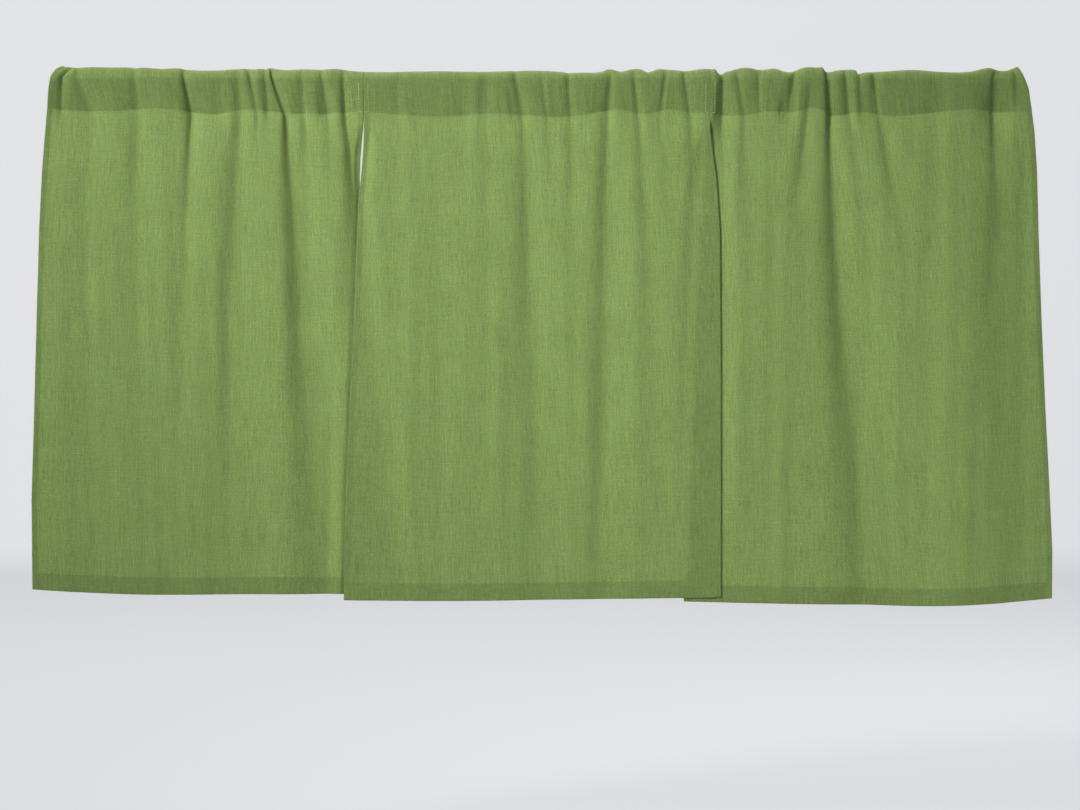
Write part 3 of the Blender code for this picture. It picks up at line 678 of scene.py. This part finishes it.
def hemmed_sheet(panel, sheet):
    """(points, shade mask) of the whole cloth with its hems rolled to the back.

    The shade mask is 1 where the cloth has more than one layer. It marks painted shade: the colour
    is made darker there for the light that the extra layers keep back.
    """
    last = sheet.points.shape[1] - 1
    off, inner = np.array(side_profile()).T
    near = np.interp(off, EDGE_COLUMNS, np.arange(len(EDGE_COLUMNS)))
    body = np.arange(1, last)
    at = np.concatenate([near, body, last - near[::-1]])
    inner = np.concatenate([inner, np.zeros(len(body)), inner[::-1]])
    off = np.concatenate([off, sheet.off[body], off[::-1]])
    stack = stack_height(off)
    first_turn = LAYER + HEM_STACKS / 2 * stack
    second_turn = stack + LAYER / 2
    level = np.ones(len(at))

    def row_at(up):
        return np.interp(up, sheet.ups, np.arange(len(sheet.ups)))

    rows = []
    for hidden in HEM_HIDDEN:
        up = BOTTOM_HEM - second_turn - hidden
        rows.append((row_at(up), 2 * first_turn - 2 * second_turn + inner, level))
    for degrees in TIGHT_TURN:
        inward, back = turn(second_turn, inner, degrees)
        rows.append((row_at(BOTTOM_HEM - inward), 2 * first_turn - back, level))
    for up in HEM_BACK:
        rows.append((row_at(up * level), 2 * first_turn - inner, level))
    for degrees in WIDE_TURN:
        inward, back = turn(first_turn, inner, degrees)
        rows.append((row_at(inward), back, level))
    # Painted shade mask: 1 in the hems and the pocket, where the cloth is doubled
    side = (off < SIDE_HEM).astype(float)
    for index in range(FIRST_FLAT_ROW, len(sheet.points) - 1):
        in_hem = index < len(sheet.ups) and sheet.ups[index] < BOTTOM_HEM
        layer_shade = level if in_hem or index > sheet.seam else side
        rows.append((index * level, inner, layer_shade))
    first_back = len(sheet.points) - len(sheet.tips)

    def back_row_at(tip):
        return first_back + np.interp(tip, sheet.tips[::-1], np.arange(len(sheet.tips))[::-1])

    for degrees in reversed(TIGHT_TURN):
        inward, back = turn(second_turn, inner, degrees)
        rows.append((back_row_at(inward), back, level))
    for hidden in reversed(HEM_HIDDEN):
        rows.append((back_row_at(second_turn + hidden), 2 * second_turn - inner, level))

    row_index = np.array([row[0] for row in rows])
    depth = np.array([row[1] for row in rows])
    layer_shade = np.array([row[2] for row in rows])
    column_index = np.broadcast_to(at, row_index.shape)
    points = sample(sheet.points, row_index, column_index)
    points = points - sample(sheet.normals, row_index, column_index) * depth[..., None]
    return points, np.maximum(layer_shade, overlap_shade(panel, points))


def overlap_shade(panel, points):
    """Up to 1 where a panel lies in front of its neighbour: a mask of painted shade, as the colour
    is made darker there for the light that the neighbour keeps back.
    """
    if not (panel.left_next and panel.right_next):
        return 0.0
    x, down = points[..., 0], -points[..., 2]
    left = LEFT_LAP_SHARE * smooth((edge_place(panel.left_next, down) - x) / OVERLAP_SOFT)
    right = smooth((x - edge_place(panel.right_next, down)) / OVERLAP_SOFT)
    return np.maximum(left, right) * (down > SLIT_TOP)


def flat_lengths(points):
    """Places of the columns and rows on the cloth laid flat."""
    across = np.linalg.norm(np.diff(points, axis=1), axis=-1).mean(axis=0)
    along = np.linalg.norm(np.diff(points, axis=0), axis=-1).mean(axis=1)
    return np.insert(np.cumsum(across), 0, 0), np.insert(np.cumsum(along), 0, 0)


def link(obj):
    bpy.context.scene.collection.objects.link(obj)
    return obj


def cloth_object(panel, points, layer_shade, material):
    rows, columns = layer_shade.shape
    index = np.arange(rows * columns).reshape(rows, columns)
    quads = np.stack([index[:-1, :-1], index[:-1, 1:], index[1:, 1:], index[1:, :-1]], axis=-1)
    mesh = bpy.data.meshes.new(panel.name + "_cloth")
    mesh.from_pydata((points.reshape(-1, 3) * MM).tolist(), [], quads.reshape(-1, 4).tolist())
    across, along = flat_lengths(points)
    across = across + TEXTURE_APART * panel.seed
    flat = np.stack(np.meshgrid(across, along), axis=-1).reshape(-1, 2) * MM
    corner = np.empty(len(mesh.loops), int)
    mesh.loops.foreach_get("vertex_index", corner)
    mesh.uv_layers.new(name="cloth").uv.foreach_set("vector", flat[corner].ravel())
    # The mask of the painted shade, where the cloth is doubled or lies over its neighbour
    layer_shade_mask = mesh.attributes.new("layer_shade", "FLOAT", "POINT")
    layer_shade_mask.data.foreach_set("value", layer_shade.ravel())
    mesh.shade_smooth()
    mesh.materials.append(material)
    obj = link(bpy.data.objects.new(panel.name + "_cloth", mesh))
    thick = obj.modifiers.new("thickness", "SOLIDIFY")
    thick.thickness = CLOTH * MM
    thick.offset = 0
    return obj


# Stitches: their length and gap and the thread's radius. Five places along a stitch have a
# share of its length, and a height over the cloth and a half-width in thread radii.
STITCH = 2.3
STITCH_GAP = 0.55
THREAD = 0.16
LIGHT_THREAD = 2.2   # how much thicker the light thread of the seams between the panels is
STITCH_SHARES = (0.0, 0.16, 0.5, 0.84, 1.0)
STITCH_RISES = (-0.7, 0.35, 0.6, 0.35, -0.7)
STITCH_WIDTHS = (0.45, 1.0, 1.1, 1.0, 0.45)
STITCH_SIDES = 6
FIRST_STITCH = 0.4   # where a row's first stitch begins
STRAY_ALONG = 0.12   # how far a stitch strays from its place along the row
STRAY_ASIDE = 0.09   # and to the side of it
SEAM_LINE_ROWS = 13  # rows of the pocket that the light thread runs up
BAR_POINTS = 6       # points of the short bar that ends it
BAR_COLUMN = 0.5     # the bar's outer end, in columns from the side edge
BAR_ROW = 0.3        # and its height, in rows above the pocket's stitching
BACK_SEAM_ROW = 0.9  # the stitching's place on the back, in rows before the last
ROWS_OFF_HEM = 2     # rows between the hem's stitching and a side hem's on the back


def stitch_row(path, normal, light, rng):
    """(vertices, faces, light) of a row of stitches along a path on the cloth's face."""
    thread = THREAD * (LIGHT_THREAD if light else 1.0)
    steps = np.linalg.norm(np.diff(path, axis=0), axis=-1)
    along = np.insert(np.cumsum(steps), 0, 0)
    starts = np.arange(FIRST_STITCH, along[-1] - STITCH, STITCH + STITCH_GAP)
    starts = starts + rng.uniform(-STRAY_ALONG, STRAY_ALONG, len(starts))
    at = starts[:, None] + np.array(STITCH_SHARES) * STITCH

    def read(values):
        return np.stack([np.interp(at, along, values[:, k]) for k in range(3)], axis=-1)

    centre = read(path)
    up = read(normal)
    up /= np.linalg.norm(up, axis=-1, keepdims=True)
    ahead = read(np.gradient(path, axis=0))
    side = np.cross(ahead, up)
    side /= np.linalg.norm(side, axis=-1, keepdims=True)
    centre = centre + up * (np.array(STITCH_RISES) * thread)[:, None]
    centre = centre + side * rng.uniform(-STRAY_ASIDE, STRAY_ASIDE, (len(starts), 1, 1))
    angle = 2 * np.pi * np.arange(STITCH_SIDES) / STITCH_SIDES
    radius = (np.array(STITCH_WIDTHS) * thread)[:, None, None]
    ring = side[:, :, None] * np.cos(angle)[:, None] + up[:, :, None] * np.sin(angle)[:, None]
    vertices = (centre[:, :, None] + radius * ring).reshape(-1, 3)

    faces = []
    size = len(STITCH_SHARES) * STITCH_SIDES
    for start in range(0, len(vertices), size):
        for k in range(len(STITCH_SHARES) - 1):
            low = start + k * STITCH_SIDES
            for i in range(STITCH_SIDES):
                j = (i + 1) % STITCH_SIDES
                faces.append((low + i, low + STITCH_SIDES + i, low + STITCH_SIDES + j, low + j))
        faces.append(tuple(start + i for i in range(STITCH_SIDES)))
        end = start + size - STITCH_SIDES
        faces.append(tuple(end + i for i in reversed(range(STITCH_SIDES))))
    return vertices, faces, light


def stitch_paths(panel, sheet):
    """Paths and normals of the panel's rows of stitches, on both faces of the cloth."""
    last = sheet.points.shape[1] - 1
    face = CLOTH / 2
    side_at = np.interp(SIDE_STITCH, EDGE_COLUMNS, np.arange(len(EDGE_COLUMNS)))
    hem_row = np.interp(HEM_STITCH, sheet.ups, np.arange(len(sheet.ups)))
    inside = np.arange(2.0, last - 1)
    found = []

    def add(rows, columns, lift, light=False):
        rows, columns = np.broadcast_arrays(rows, columns)
        normal = sample(sheet.normals, rows, columns)
        path = sample(sheet.points, rows, columns) + normal * lift
        found.append((path, normal * np.sign(lift), light))

    back_face = -(2 * LAYER + face)
    add(np.full_like(inside, sheet.seam), inside, face)
    add(np.full_like(inside, hem_row), inside, face)
    add(np.full_like(inside, hem_row), inside, back_face)
    add(np.full_like(inside, len(sheet.points) - 1 - BACK_SEAM_ROW), inside, face)
    upright = np.arange(1.0, len(sheet.points) - 2)
    single = np.arange(hem_row + ROWS_OFF_HEM, sheet.seam)
    pocket = sheet.seam + np.arange(float(SEAM_LINE_ROWS))
    below = np.arange(1.0, sheet.seam)
    sides = (
        (side_at, BAR_COLUMN, panel.left_next),
        (last - side_at, last - BAR_COLUMN, panel.right_next),
    )
    for at, end, sewn in sides:
        if sewn:
            add(pocket, np.full_like(pocket, at), face, True)
            bar = np.linspace(at, end, BAR_POINTS)
            add(np.full_like(bar, sheet.seam + BAR_ROW), bar, face, True)
            add(below, np.full_like(below, at), face)
        else:
            add(upright, np.full_like(upright, at), face)
        add(single, np.full_like(single, at), back_face)
    return found


def joined_mesh(name, pieces, material):
    vertices = []
    faces = []
    lights = []
    for points, polygons, light in pieces:
        start = len(vertices)
        vertices += (points * MM).tolist()
        lights += [float(light)] * len(points)
        faces += [tuple(start + i for i in polygon) for polygon in polygons]
    mesh = bpy.data.meshes.new(name)
    mesh.from_pydata(vertices, [], faces)
    mesh.attributes.new("light", "FLOAT", "POINT").data.foreach_set("value", lights)
    mesh.shade_smooth()
    mesh.materials.append(material)
    return link(bpy.data.objects.new(name, mesh))


def stitching_object(panel, sheet, material):
    rng = np.random.default_rng(panel.seed + 2)
    rows = [stitch_row(*row, rng) for row in stitch_paths(panel, sheet)]
    return joined_mesh(panel.name + "_stitching", rows, material)


class Nodes:
    """Short calls for building a node tree."""

    def __init__(self, tree):
        self.tree = tree

    def add(self, kind, inputs=None, **settings):
        node = self.tree.nodes.new(kind)
        for name, value in settings.items():
            setattr(node, name, value)
        for name, value in (inputs or {}).items():
            self.feed(node.inputs[name], value)
        return node

    def feed(self, socket, value):
        if isinstance(value, bpy.types.NodeSocket):
            self.tree.links.new(value, socket)
        else:
            socket.default_value = value

    def math(self, operation, first, second=0.0):
        inputs = {0: first, 1: second}
        return self.add("ShaderNodeMath", inputs, operation=operation).outputs[0]

    def mix_colour(self, share, first, second):
        """The colour sockets of a Mix node are its inputs 6 and 7 and its output 2."""
        inputs = {0: share, 6: first, 7: second}
        return self.add("ShaderNodeMix", inputs, data_type="RGBA").outputs[2]

    def scale(self, vector, factor):
        inputs = {0: vector, "Scale": factor}
        return self.add("ShaderNodeVectorMath", inputs, operation="SCALE").outputs[0]

    def stretched_noise(self, coordinates, across, along, detail=2.0):
        """Noise with spots of the given size in millimetres."""
        size = (1000 / across, 1000 / along, 1.0)
        inputs = {0: coordinates, 1: size}
        scaled = self.add("ShaderNodeVectorMath", inputs, operation="MULTIPLY").outputs[0]
        inputs = {"Vector": scaled, "Scale": 1.0, "Detail": detail, "Roughness": 0.55}
        return self.add("ShaderNodeTexNoise", inputs).outputs["Fac"]

    def weighted(self, terms, start=0.0):
        """start plus each value's distance from one half, times its weight."""
        total = start
        for value, weight in terms:
            centred = self.math("SUBTRACT", value, 0.5)
            total = self.math("ADD", self.math("MULTIPLY", centred, weight), total)
        return total


GREEN_YELLOW = (0.267, 0.380, 0.102, 1.0)
GREEN_BLUE = (0.259, 0.380, 0.108, 1.0)
PALE = (0.52, 0.59, 0.38, 1.0)
DULL_THREAD = (0.235, 0.345, 0.09, 1.0)
THREAD_GREEN = (0.46, 0.60, 0.20, 1.0)
THREAD_PITCH = 0.62      # distance between two yarns, in millimetres
DOUBLED_SHADE = 0.17     # painted shade: how much darker the colour is made where the cloth has two layers than one, for the light they keep back
LIGHT_THROUGH = 0.15     # the part of the light that the cloth lets through

# The uneven places of the linen: their sizes across and along the cloth in millimetres, and
# how much they change its shade and its height. The yarns have long thick and thin stretches
# up and down and shorter ones across.
Spots = namedtuple("Spots", "across along shade height")

SPOTS = (
    Spots(1.5, 34, 0.55, 0.9), Spots(0.8, 12, 0.5, 0.5), Spots(26, 1.4, 0.28, 0.6),
    Spots(1.3, 1.3, 0.7, 0), Spots(26, 44, 0.2, 0),
)
# The weave's own pattern of yarns, with painted shade: its gaps are coloured darker and its
# crossings lighter
WEAVE_PAINTED_SHADE = 0.1
WEAVE_HEIGHT = 0.5
WEAVE_POWER = 0.6        # below 1, so that the gaps between the yarns are narrow
HUE_SPOTS = (17, 25)     # sizes of the yellower and the bluer places
HUE_RANGE = (0.32, 0.68)
FUZZ_SPOTS = (1.0, 4.5, 3.0)     # sizes of the pale places, and their detail
FUZZ_RANGE = (0.5, 0.8)
FUZZ_MOST = 0.3          # how pale they get
BUMP_STRENGTH = 0.45
BUMP_HEIGHT = 0.3        # in millimetres


def linen_material():
    material = bpy.data.materials.new("linen")
    material.use_nodes = True
    tree = material.node_tree
    tree.nodes.clear()
    n = Nodes(tree)
    cloth = n.add("ShaderNodeUVMap", uv_map="cloth").outputs["UV"]

    uneven = [n.stretched_noise(cloth, spots.across, spots.along) for spots in SPOTS]
    split = n.add("ShaderNodeSeparateXYZ", {0: cloth})
    turn_rate = 1000 * np.pi / THREAD_PITCH
    wave_u = n.math("SINE", n.math("MULTIPLY", split.outputs[0], turn_rate))
    wave_v = n.math("SINE", n.math("MULTIPLY", split.outputs[1], turn_rate))
    crossings = n.math("ABSOLUTE", n.math("MULTIPLY", wave_u, wave_v))
    weave = n.math("POWER", crossings, WEAVE_POWER)

    hue = n.stretched_noise(cloth, *HUE_SPOTS)
    inputs = {"Value": hue, "From Min": HUE_RANGE[0], "From Max": HUE_RANGE[1]}
    tint = n.add("ShaderNodeMapRange", inputs).outputs[0]
    green = n.mix_colour(tint, GREEN_BLUE, GREEN_YELLOW)
    shades = [(value, spots.shade) for value, spots in zip(uneven, SPOTS)]
    # The weave's term here is painted shade in the gaps between the yarns
    shade = n.weighted(shades + [(weave, WEAVE_PAINTED_SHADE)], 1.0)
    # Painted shade: the colour is made darker where the cloth is doubled or lies in front of its
    # neighbour, for the light that the extra cloth keeps back
    layer_shade_mask = n.add("ShaderNodeAttribute", attribute_name="layer_shade").outputs["Fac"]
    painted_shade_factor = n.math("SUBTRACT", 1.0, n.math("MULTIPLY", layer_shade_mask, DOUBLED_SHADE))
    shade = n.math("MULTIPLY", shade, painted_shade_factor)
    fuzz = n.stretched_noise(cloth, *FUZZ_SPOTS)
    inputs = {
        "Value": fuzz, "From Min": FUZZ_RANGE[0], "From Max": FUZZ_RANGE[1], "To Max": FUZZ_MOST,
    }
    pale = n.add("ShaderNodeMapRange", inputs).outputs[0]
    colour = n.scale(n.mix_colour(pale, green, PALE), shade)

    heights = [(value, spots.height) for value, spots in zip(uneven, SPOTS) if spots.height]
    height = n.weighted(heights + [(weave, WEAVE_HEIGHT)])
    inputs = {"Height": height, "Strength": BUMP_STRENGTH, "Distance": BUMP_HEIGHT * MM}
    surface = n.add("ShaderNodeBump", inputs)
    cover = n.add(
        "ShaderNodeBsdfPrincipled",
        {
            "Base Color": colour,
            "Roughness": 0.88,
            "Specular IOR Level": 0.25,
            "Sheen Weight": 0.12,
            "Sheen Roughness": 0.5,
            "Normal": surface.outputs[0],
        },
    )
    through = n.add("ShaderNodeBsdfTranslucent", {"Color": colour})
    inputs = {0: LIGHT_THROUGH, 1: cover.outputs[0], 2: through.outputs[0]}
    mixed = n.add("ShaderNodeMixShader", inputs)
    out = n.add("ShaderNodeOutputMaterial", {"Surface": mixed.outputs[0]})
    out.is_active_output = True
    return material


def plain_material(name, colour, roughness):
    material = bpy.data.materials.new(name)
    material.use_nodes = True
    shader = material.node_tree.nodes["Principled BSDF"]
    shader.inputs["Base Color"].default_value = colour
    shader.inputs["Roughness"].default_value = roughness
    return material


def thread_material():
    material = plain_material("sewing_thread", DULL_THREAD, 0.6)
    n = Nodes(material.node_tree)
    light = n.add("ShaderNodeAttribute", attribute_name="light").outputs["Fac"]
    shader = material.node_tree.nodes["Principled BSDF"]
    n.feed(shader.inputs["Base Color"], n.mix_colour(light, DULL_THREAD, THREAD_GREEN))
    n.feed(shader.inputs["Sheen Weight"], 0.2)
    return material


# Studio, in metres
CAMERA_PLACE = (-0.001, -2.4, -0.336)
CAMERA_LENS = 80             # in millimetres, as the sensor's width is
CAMERA_WIDTH = 36
FLOOR_Z = -0.80
FLOOR_RADIUS = 30
FLOOR_SIDES = 96
FLOOR_COLOUR = (0.72, 0.73, 0.745, 1.0)
FLOOR_FADE = (2.0, 6.0)      # radii between which the floor turns into the backdrop's colour
FLOOR_LEAST = 0.65           # how much of that colour it has near the curtain already
FLOOR_FRONT = -1.2           # it is darkest here in front of the curtain, as the backdrop is,
FLOOR_BEHIND = 0.3           # and has the colour of the backdrop's brightest side from here on
BACKDROP = (0.462, 0.470, 0.484)
BACKDROP_BEHIND = 0.62       # how much brighter the backdrop is behind the curtain
BACKDROP_ABOVE = 0.20        # and how much brighter above, on the left
ABOVE_LEFT = (-0.5, 0.0, 0.87)

Light = namedtuple("Light", "name place aim size power spread")

LIGHTS = (
    Light("key", (-2.24, -1.97, 1.38), (-0.09, 0.0, -0.06), 1.0, 4.62, 28),
    Light("behind", (0.0, 1.7, 2.2), (0.0, 1.0, -0.8), 1.5, 30, 150),
)


def add_camera():
    camera = bpy.data.cameras.new("camera")
    camera.lens = CAMERA_LENS
    camera.sensor_width = CAMERA_WIDTH
    obj = link(bpy.data.objects.new("camera", camera))
    obj.location = CAMERA_PLACE
    obj.rotation_euler = (np.pi / 2, 0, 0)
    bpy.context.scene.camera = obj


def backdrop_colour(n, direction):
    """The backdrop's colour in a direction: brightest behind the curtain and above it."""
    towards = n.add("ShaderNodeSeparateXYZ", {0: direction}).outputs[1]
    inputs = {0: direction, 1: ABOVE_LEFT}
    above = n.add("ShaderNodeVectorMath", inputs, operation="DOT_PRODUCT").outputs["Value"]
    gain = n.math("ADD", n.math("MULTIPLY", towards, BACKDROP_BEHIND), 1.0)
    gain = n.math("ADD", n.math("MULTIPLY", above, BACKDROP_ABOVE), gain)
    return n.scale(BACKDROP, gain)


def add_lights():
    world = bpy.data.worlds.new("studio")
    world.use_nodes = True
    n = Nodes(world.node_tree)
    direction = n.add("ShaderNodeTexCoord").outputs["Generated"]
    n.feed(world.node_tree.nodes["Background"].inputs[0], backdrop_colour(n, direction))
    bpy.context.scene.world = world
    for row in LIGHTS:
        data = bpy.data.lights.new(row.name, "AREA")
        data.size = row.size
        data.energy = row.power
        data.spread = np.radians(row.spread)
        obj = link(bpy.data.objects.new(row.name, data))
        obj.location = row.place
        aim = np.array(row.aim) - np.array(row.place)
        level = np.hypot(aim[0], aim[1])
        obj.rotation_euler = (np.pi / 2 + np.arctan2(aim[2], level), 0, np.arctan2(-aim[0], aim[1]))


def floor_material():
    material = plain_material("floor", FLOOR_COLOUR, 0.8)
    n = Nodes(material.node_tree)
    place = n.add("ShaderNodeNewGeometry").outputs["Position"]
    radius = n.add("ShaderNodeVectorMath", {0: place}, operation="LENGTH").outputs["Value"]
    inputs = {"Value": radius, "From Min": FLOOR_FADE[0], "From Max": FLOOR_FADE[1]}
    far = n.add("ShaderNodeMapRange", inputs, interpolation_type="SMOOTHSTEP").outputs[0]
    flat = n.add("ShaderNodeVectorMath", {0: place, 1: (1, 1, 0)}, operation="MULTIPLY").outputs[0]
    direction = n.add("ShaderNodeVectorMath", {0: flat}, operation="NORMALIZE").outputs[0]
    depth = n.add("ShaderNodeSeparateXYZ", {0: place}).outputs[1]
    inputs = {"Value": depth, "From Min": FLOOR_FRONT, "From Max": FLOOR_BEHIND, "To Min": -1.0}
    towards = n.add("ShaderNodeMapRange", inputs, interpolation_type="SMOOTHSTEP").outputs[0]
    near_direction = n.add("ShaderNodeCombineXYZ", {"Y": towards}).outputs[0]
    inputs = {0: far, 4: near_direction, 5: direction}
    blend = n.add("ShaderNodeMix", inputs, data_type="VECTOR").outputs[1]
    glow = n.add("ShaderNodeEmission", {"Color": backdrop_colour(n, blend)})
    near = material.node_tree.nodes["Principled BSDF"].outputs[0]
    share = n.math("MAXIMUM", far, FLOOR_LEAST)
    mixed = n.add("ShaderNodeMixShader", {0: share, 1: near, 2: glow.outputs[0]})
    n.feed(material.node_tree.nodes["Material Output"].inputs["Surface"], mixed.outputs[0])
    return material


def add_floor():
    angle = 2 * np.pi * np.arange(FLOOR_SIDES) / FLOOR_SIDES
    rim = np.stack([np.cos(angle), np.sin(angle), 0 * angle], axis=-1) * FLOOR_RADIUS
    rim[:, 2] = FLOOR_Z
    mesh = bpy.data.meshes.new("floor")
    mesh.from_pydata(rim.tolist(), [], [tuple(range(len(rim)))])
    mesh.materials.append(floor_material())
    link(bpy.data.objects.new("floor", mesh))


def add_panels():
    linen = linen_material()
    thread = thread_material()
    for panel in PANELS:
        sheet = bare_sheet(panel)
        points, layer_shade = hemmed_sheet(panel, sheet)
        cloth = cloth_object(panel, points, layer_shade, linen)
        stitching = stitching_object(panel, sheet, thread)
        for piece in (cloth, stitching):
            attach(piece, "root")
        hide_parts(panel.name)


def main():
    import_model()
    bpy.context.scene.view_settings.view_transform = "Standard"
    add_camera()
    add_lights()
    add_floor()
    add_panels()


main()
